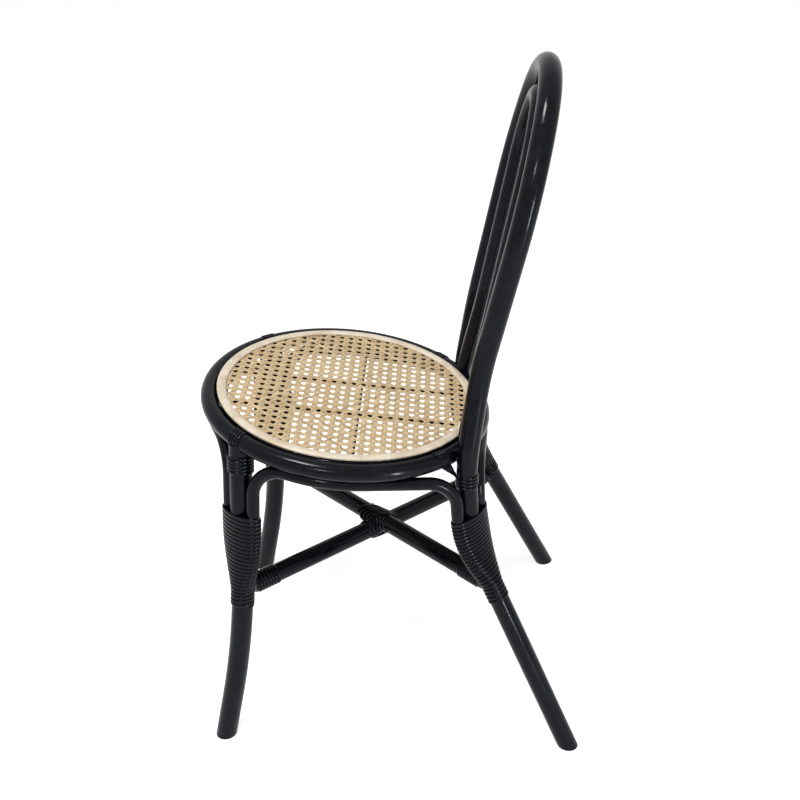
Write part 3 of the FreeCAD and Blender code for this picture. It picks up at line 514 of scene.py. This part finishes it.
def lay_strands(name, strands, width, thick, material, stands_for=()):
    """A mesh of flat strands.  Each is a list of (point, outward direction) in millimetres."""
    vertices = []
    faces = []
    places = []
    count = len(CROWN)
    for number, line in enumerate(strands):
        start = len(vertices)
        length = 0.0
        for n, (point, outward) in enumerate(line):
            before = line[max(n - 1, 0)][0]
            after = line[min(n + 1, len(line) - 1)][0]
            tangent = (after - before).normalized()
            across = tangent.cross(outward).normalized()
            up = across.cross(tangent)
            if n:
                length += (point - line[n - 1][0]).length
            for side, rise in CROWN:
                place = point + across * (side * width) + up * (rise * thick)
                vertices.append(place * MM)
                places.append((length * MM, number + 0.5 + side * UV_WIDTH))
        for n in range(len(line) - 1):
            for k in range(count):
                a = start + n * count + k
                b = start + n * count + (k + 1) % count
                faces.append((a, b, b + count, a + count))
        faces.append(tuple(start + k for k in reversed(range(count))))
        last = start + (len(line) - 1) * count
        faces.append(tuple(last + k for k in range(count)))
    mesh = bpy.data.meshes.new(name)
    mesh.from_pydata(vertices, [], faces)
    layer = mesh.uv_layers.new(name="strand")
    for loop in mesh.loops:
        layer.data[loop.index].uv = places[loop.vertex_index]
    mesh.materials.append(material)
    mesh.validate()
    mesh.shade_smooth()
    piece = bpy.data.objects.new(name, mesh)
    bpy.context.scene.collection.objects.link(piece)
    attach(piece, "root")
    if stands_for:
        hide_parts(*stands_for)
    print(name, "strands", len(strands), "faces", len(mesh.polygons))


# %% [markdown]
# ## The woven seat
#
# The seat is six-way cane sheet.  Pairs of strands run front to back and side to side, and
# single strands cross them on both diagonals, which leaves eight-sided holes.  A texture
# would show no holes and no shadows, so every strand is laid as its own flat ribbon.  Where
# strands cross, each rises or dips by its own thickness, and the diagonals lie on the pairs.

# %% Cane weave
WEAVE_PITCH = 13.6
PAIR_HALF = 1.95
CANE_WIDTH = 3.1
CANE_THICK = 0.55
WEAVE_RADIUS = 173.5
WEAVE_LEVEL = 10.3
WEAVE_EDGE = 4
PAIR_WAVE = 0.32
SLANT_RISE = 0.45
SLANT_WAVE = 0.42
STEP = WEAVE_PITCH / 4


def weave_line(start, direction, length, rise):
    """Points along one strand of the seat, from a start and a direction in the ring's plane."""
    line = []
    steps = max(2, int(length / STEP))
    for n in range(steps + 1):
        d = length * n / steps
        x = start[0] + direction[0] * d
        y = start[1] + direction[1] * d
        line.append((on_seat(x, y, WEAVE_LEVEL + rise(x, y)), SEAT_UP))
    return line


def chord(offset):
    return math.sqrt(max(WEAVE_RADIUS**2 - offset**2, 0.0))


def make_weave():
    strands = []
    wave = math.pi / WEAVE_PITCH
    half = int(WEAVE_RADIUS / WEAVE_PITCH)
    for k in range(-half, half + 1):
        for pair in (-1, 1):
            at = k * WEAVE_PITCH + pair * PAIR_HALF
            if abs(at) > WEAVE_RADIUS - WEAVE_EDGE:
                continue
            reach = chord(at)
            dip = PAIR_WAVE * pair * (1 if k % 2 else -1)
            back = weave_line(
                (at, -reach), (0, 1), 2 * reach, lambda x, y, d=dip: d * math.cos(y * wave)
            )
            across = weave_line(
                (-reach, at), (1, 0), 2 * reach, lambda x, y, d=dip: -d * math.cos(x * wave)
            )
            strands += [back, across]
    slant = math.sqrt(0.5)
    spacing = WEAVE_PITCH * slant
    half = int(WEAVE_RADIUS / spacing) + 1
    for k in range(-half, half + 1):
        at = (k + 0.5) * spacing
        if abs(at) > WEAVE_RADIUS - WEAVE_EDGE:
            continue
        reach = chord(at)
        for lean in (-1, 1):
            start = (
                -at * slant * lean - reach * slant,
                at * slant - reach * slant * lean,
            )
            strands.append(
                weave_line(
                    start,
                    (slant, slant * lean),
                    2 * reach,
                    lambda x, y, s=lean: SLANT_RISE + SLANT_WAVE * s * math.cos(2 * x * wave),
                )
            )
    return strands


lay_strands(
    "cane_weave", make_weave(), CANE_WIDTH, CANE_THICK, cane_skin, ("webbing",)
)

# %% [markdown]
# ## Leg bindings
#
# The arches' tails lie beside each leg, and flat peel is wound tightly over both, about
# two dozen turns with hairline gaps.  Grooves in a bump could hint at the turns, but real turns
# show in the outline and shade each other.  So the strand follows a spiral round the leg's own
# line, which widens where the tails are.

# %% Leg bindings
BINDING_TURNS = 24
PEEL_THICK = 1.5
HAIRLINE = 0.55
CLEAR = 0.25
PARE_TOP = 335.0
PARE_BARE = 244.0
TAIL_WIDE = 18.2
TURN_STEPS = 28


def wrap_point(line, aside, radius, height, angle):
    """A point on the wound surface of a leg, and its outward direction."""
    along = (line(height + 1) - line(height - 1)).normalized()
    u = (aside - along * aside.dot(along)).normalized()
    w = along.cross(u)
    share = min(max((height - PARE_BARE) / (PARE_TOP - PARE_BARE), 0.0), 1.0)
    wide = radius + TAIL_WIDE * math.sin(math.pi / 2 * share)
    spoke = u * (wide * math.cos(angle)) + w * (radius * math.sin(angle))
    outward = u * (math.cos(angle) / wide) + w * (math.sin(angle) / radius)
    return line(height) + spoke, outward.normalized()


def make_leg_binding(name, line, turn, radius, low, top, side):
    strand = []
    steps = BINDING_TURNS * TURN_STEPS
    for n in range(steps + 1):
        height = low + (top - low) * n / steps
        angle = 2 * math.pi * n / TURN_STEPS
        point, outward = wrap_point(line, along_ring(turn), radius + CLEAR, height, angle)
        strand.append((to_side(point, side), to_side(outward, side)))
    width = (top - low) / BINDING_TURNS - HAIRLINE
    lay_strands(name + "_peel", [strand], width, PEEL_THICK, peel_paint, (name,))


# name, leg line, direction of the tails, leg radius, lowest and highest turn
LEG_BINDINGS = (
    ("front_binding_", front_line, LEG_TURN, LEG, 219.0, 360.0),
    ("rear_binding_", rear_line, POST_TURN, POST, 222.0, 350.0),
)
for word, side in (("left", 1), ("right", -1)):
    for stem, *binding in LEG_BINDINGS:
        make_leg_binding(stem + word, *binding, side)

# %% [markdown]
# ## Ties under the ring
#
# At each front leg a few strands pass over the ring and down the leg, and level turns hold
# them.  At each rear post, strands pass over the ring and slant down to the post, where a few
# turns hold them.  One long strand could do all of it, but its crossings are hard to place, so
# each tie is a short list of strands in one piece, laid with the same strand maker.

# %% Ring ties
TIE_WIDTH = 4.4
TIE_PITCH = 4.9
TIE_THICK = 1.3
OVER_OFFSETS = (-9.5, -4.7, 0.1, 4.9)
OVER_SLANT = 5.0
OVER_START = 128
OVER_TURN = 12.5
OVER_STEPS = 14
DOWN_STEP = 4.5
DOWN_STEPS = 6
DOWN_EASE = 3
DOWN_CLEAR = 0.3
FRONT_TURNS = 4.6
FRONT_TURNS_DROP = 16.5
FRONT_TURNS_CLEAR = 1.4
FAN_SHARES = (0.0, 0.5, 1.0, 1.5)
FAN_NEAR = 4.0
FAN_SPREAD = 9.0
FAN_SLIDE = 0.25
FAN_START = 110
FAN_TURN = 13.5
FAN_STEPS = 10
FAN_DROP = 12.0
FAN_DROP_SPREAD = 3.0
FAN_DOWN_STEPS = 5
FAN_CLEAR = 0.6
REAR_TURNS = 3.2
REAR_TURNS_DROP = 11.0
REAR_TURNS_CLEAR = 0.3


def level_turns(line, start, turns, radius):
    """Turns round one pole, downwards from a height."""
    strand = []
    for n in range(int(turns * TURN_STEPS) + 1):
        height = start - TIE_PITCH * n / TURN_STEPS
        angle = 2 * math.pi * n / TURN_STEPS
        along = (line(height + 1) - line(height - 1)).normalized()
        u = (Vector((1, 0, 0)) - along * along.x).normalized()
        w = along.cross(u)
        outward = u * math.cos(angle) + w * math.sin(angle)
        strand.append((line(height) + outward * radius, outward))
    return strand


def over_ring(offset):
    """A strand from the seat's edge over the ring and down the front leg's outside."""
    strand = []
    for n in range(OVER_STEPS + 1):
        turn = math.radians(OVER_START - OVER_TURN * n)
        shift = offset + OVER_SLANT * (n / OVER_STEPS - 0.5)
        angle = LEG_TURN + shift / RING_RADIUS
        outward = out_of_ring(angle) * math.cos(turn) + SEAT_UP * math.sin(turn)
        strand.append((on_ring(angle, RING_RADIUS) + outward * (RING_POLE + CLEAR), outward))
    end = strand[-1][0]
    shift = offset + OVER_SLANT * 0.5
    lift = math.sqrt((LEG + DOWN_CLEAR) ** 2 - shift**2)
    for n in range(1, DOWN_STEPS + 1):
        height = end.z - DOWN_STEP * n
        along = (front_line(height + 1) - front_line(height - 1)).normalized()
        outward = out_of_ring(LEG_TURN)
        outward = (outward - along * outward.dot(along)).normalized()
        spoke = outward * lift - along.cross(outward) * shift
        point = end.lerp(front_line(height) + spoke, min(1.0, n / DOWN_EASE))
        strand.append((point, spoke.normalized()))
    return strand


def rear_fan(share):
    """A strand over the ring that slants down to the rear post."""
    ring_angle = POST_TURN - (POST + FAN_NEAR + FAN_SPREAD * share) / RING_RADIUS
    strand = []
    for n in range(FAN_STEPS + 1):
        roll = math.radians(FAN_START - FAN_TURN * n)
        slide = ring_angle + (POST_TURN - ring_angle) * FAN_SLIDE * n / FAN_STEPS
        outward = out_of_ring(slide) * math.cos(roll) + SEAT_UP * math.sin(roll)
        strand.append((on_ring(slide, RING_RADIUS) + outward * (RING_POLE + CLEAR), outward))
    end, end_out = strand[-1]
    centre = post_line(end.z - FAN_DROP - FAN_DROP_SPREAD * share)
    beside = end - centre
    beside.z = 0
    goal_out = beside.normalized()
    goal = centre + goal_out * (POST + FAN_CLEAR)
    for n in range(1, FAN_DOWN_STEPS + 1):
        s = n / FAN_DOWN_STEPS
        strand.append((end.lerp(goal, s), end_out.lerp(goal_out, s).normalized()))
    return strand


def mirrored(strands, side):
    return [[(to_side(p, side), to_side(o, side)) for p, o in s] for s in strands]


def lay_tie(name, strands, stands_for):
    lay_strands(name, strands, TIE_WIDTH, TIE_THICK, peel_paint, (stands_for,))


for word, side in (("left", 1), ("right", -1)):
    front = [over_ring(offset) for offset in OVER_OFFSETS]
    start = front_top.z - FRONT_TURNS_DROP
    front.append(level_turns(front_line, start, FRONT_TURNS, LEG + FRONT_TURNS_CLEAR))
    lay_tie("front_ring_tie_" + word, mirrored(front, side), "front_tie_" + word)
    rear = [rear_fan(share) for share in FAN_SHARES]
    start = nape.z - REAR_TURNS_DROP
    rear.append(level_turns(post_line, start, REAR_TURNS, POST + REAR_TURNS_CLEAR))
    lay_tie("rear_ring_tie_" + word, mirrored(rear, side), "rear_tie_" + word)

# %% [markdown]
# ## Windings on the stretchers
#
# Each stretcher's end is wound where it meets a leg, and the crossing is lashed both ways.
# The ends are plain turns.  Plain rings round the crossing would stand off from both poles, so
# the lashing's loops are drawn tight round the two, one set along the chair and one across it.

# %% Stretcher windings
LOW_FRONT = 242.0
LOW_REAR = 219.0
HIGH = 242.5
END_TURNS = 6.5
END_THICK = 1.4
END_START = 7.0
LASH_TURNS = 5
LASH_CLEAR = 0.4
LASH_LAYER = 1.5
low_front = front_line(LOW_FRONT)
low_rear = to_side(rear_line(LOW_REAR), -1)
high_front = to_side(front_line(HIGH), -1)
high_rear = rear_line(HIGH)


def straight_turns(start, axis, turns, radius):
    """Turns round a straight pole, along its axis from a start."""
    u = axis.orthogonal().normalized()
    w = axis.cross(u)
    strand = []
    for n in range(int(turns * TURN_STEPS) + 1):
        angle = 2 * math.pi * n / TURN_STEPS
        outward = u * math.cos(angle) + w * math.sin(angle)
        strand.append((start + axis * (TIE_PITCH * n / TURN_STEPS) + outward * radius, outward))
    return strand


ENDS = (
    ("stretcher_tie_front_left", low_front, low_rear, LEG),
    ("stretcher_tie_rear_right", low_rear, low_front, POST),
    ("stretcher_tie_front_right", high_front, high_rear, LEG),
    ("stretcher_tie_rear_left", high_rear, high_front, POST),
)
for name, leg_middle, far_end, leg_radius in ENDS:
    axis = (far_end - leg_middle).normalized()
    start = leg_middle + axis * (leg_radius + END_START)
    turns = straight_turns(start, axis, END_TURNS, STRETCHER + CLEAR)
    lay_strands(name + "_peel", [turns], TIE_WIDTH, END_THICK, peel_paint, (name,))


def crossing_middle():
    """The point between the stretchers where they cross, and their distance apart there."""
    low_run = low_rear - low_front
    high_run = high_rear - high_front
    between = high_front - low_front
    share = between.x * high_run.y - between.y * high_run.x
    share /= low_run.x * high_run.y - low_run.y * high_run.x
    on_low = low_front + low_run * share
    return Vector((on_low.x, on_low.y, (on_low.z + HIGH) / 2)), HIGH - on_low.z


def lashing(axis, layer):
    """Loops drawn tight round both stretchers, side by side along an axis."""
    middle, apart = crossing_middle()
    aside = axis.cross(Vector((0, 0, 1)))
    poles = []
    for start, end, level in ((low_front, low_rear, -apart), (high_front, high_rear, apart)):
        along = (end - start).normalized()
        share = along.dot(axis)
        poles.append((along.dot(aside) / share, STRETCHER / abs(share), level / 2))
    inset = LASH_CLEAR + layer * LASH_LAYER
    strand = []
    for n in range(LASH_TURNS * TURN_STEPS + 1):
        at = TIE_PITCH * (n / TURN_STEPS - LASH_TURNS / 2)
        angle = 2 * math.pi * n / TURN_STEPS
        rise = Vector((0, 0, math.sin(angle)))
        outward = (aside * math.cos(angle) / poles[0][1] + rise / STRETCHER).normalized()
        spokes = [
            aside * (slope * at + (wide + inset) * math.cos(angle))
            + Vector((0, 0, level))
            + rise * (STRETCHER + inset)
            for slope, wide, level in poles
        ]
        spoke = max(spokes, key=outward.dot)
        strand.append((middle + axis * at + spoke, outward))
    return strand


LASHINGS = (("lashing_lengthwise", (0, 1, 0)), ("lashing_crosswise", (1, 0, 0)))
for layer, (name, axis) in enumerate(LASHINGS):
    lay_tie(name + "_peel", [lashing(Vector(axis), layer)], name)

# %% [markdown]
# ## Floor
#
# The photograph has a white ground.  More lamps would whiten the floor but bleach the cane, so
# the floor is a pale sheet with a glow that only camera, glossy and transmission rays see.  The
# glow leaves only a faint shadow at the feet.

# %% Floor
FLOOR_HALF = 9.0
FLOOR_DROP = 0.0005
FLOOR_GLOW = 0.75


def rays_that_see_it(tree):
    """One for camera, glossy and transmission rays, so that gloss shows the white ground too."""
    rays = tree.nodes.new("ShaderNodeLightPath")
    both = add_node(tree, "ShaderNodeMath")
    both.operation = "MAXIMUM"
    every = add_node(tree, "ShaderNodeMath")
    every.operation = "MAXIMUM"
    join(tree, rays.outputs["Is Camera Ray"], both.inputs[0])
    join(tree, rays.outputs["Is Glossy Ray"], both.inputs[1])
    join(tree, both.outputs[0], every.inputs[0])
    join(tree, rays.outputs["Is Transmission Ray"], every.inputs[1])
    return every.outputs[0]


floor_mesh = bpy.data.meshes.new("floor")
corners = [
    (x * FLOOR_HALF, y * FLOOR_HALF, -FLOOR_DROP) for x, y in ((-1, -1), (1, -1), (1, 1), (-1, 1))
]
floor_mesh.from_pydata(corners, [], [(0, 1, 2, 3)])
floor = bpy.data.objects.new("floor", floor_mesh)
bpy.context.scene.collection.objects.link(floor)
pale, tree, shader = new_material("pale_floor")
shader.inputs["Base Color"].default_value = (0.8, 0.8, 0.8, 1)
shader.inputs["Roughness"].default_value = 0.9
shader.inputs["Emission Color"].default_value = (1, 1, 1, 1)
glow = add_node(tree, "ShaderNodeMath")
glow.operation = "MULTIPLY"
glow.inputs[1].default_value = FLOOR_GLOW
join(tree, rays_that_see_it(tree), glow.inputs[0])
join(tree, glow.outputs[0], shader.inputs["Emission Strength"])
floor_mesh.materials.append(pale)
print("floor:", floor.name, "half width", FLOOR_HALF)

# %% [markdown]
# ## Background and lamps
#
# The light in the photograph is soft and plain.  A lamp overhead gives most of it, a small one
# near the camera adds highlights to the ring and the peel, and a low narrow one beyond the
# chair's back is for the streak on the near post.  One big soft lamp could light it all, but
# black paint needs small bright lamps for its highlights.

# %% Background and lamps
WORLD_LIGHT = 0.22
WORLD_SEEN = 1.0
world = bpy.data.worlds.new("studio")
bpy.context.scene.world = world
world.use_nodes = True
tree = world.node_tree
background = tree.nodes["Background"]
background.inputs["Color"].default_value = (1, 1, 1, 1)
level = spread_over(tree, rays_that_see_it(tree), WORLD_LIGHT, WORLD_SEEN)
join(tree, level, background.inputs["Strength"])


def add_lamp(name, place, aim, wide, tall, watts, colour):
    data = bpy.data.lights.new(name, "AREA")
    data.shape = "RECTANGLE"
    data.size = wide
    data.size_y = tall
    data.energy = watts
    data.color = colour
    lamp = bpy.data.objects.new(name, data)
    bpy.context.scene.collection.objects.link(lamp)
    lamp.location = place
    lamp.rotation_euler = (Vector(aim) - Vector(place)).to_track_quat("-Z", "Y").to_euler()


add_lamp("lamp_over", (0.6, -0.6, 3.0), (0, 0, 0.3), 0.6, 0.6, 60, (0.97, 0.985, 1))
add_lamp("lamp_near", (2.5, -0.45, 2.1), (0, -0.05, 0.4), 0.3, 0.3, 14, (0.9, 0.95, 1))
add_lamp("lamp_streak", (1.6, 1.3, 0.39), (0.14, 0.2, 0.6), 0.14, 0.6, 17, (0.85, 0.92, 1))
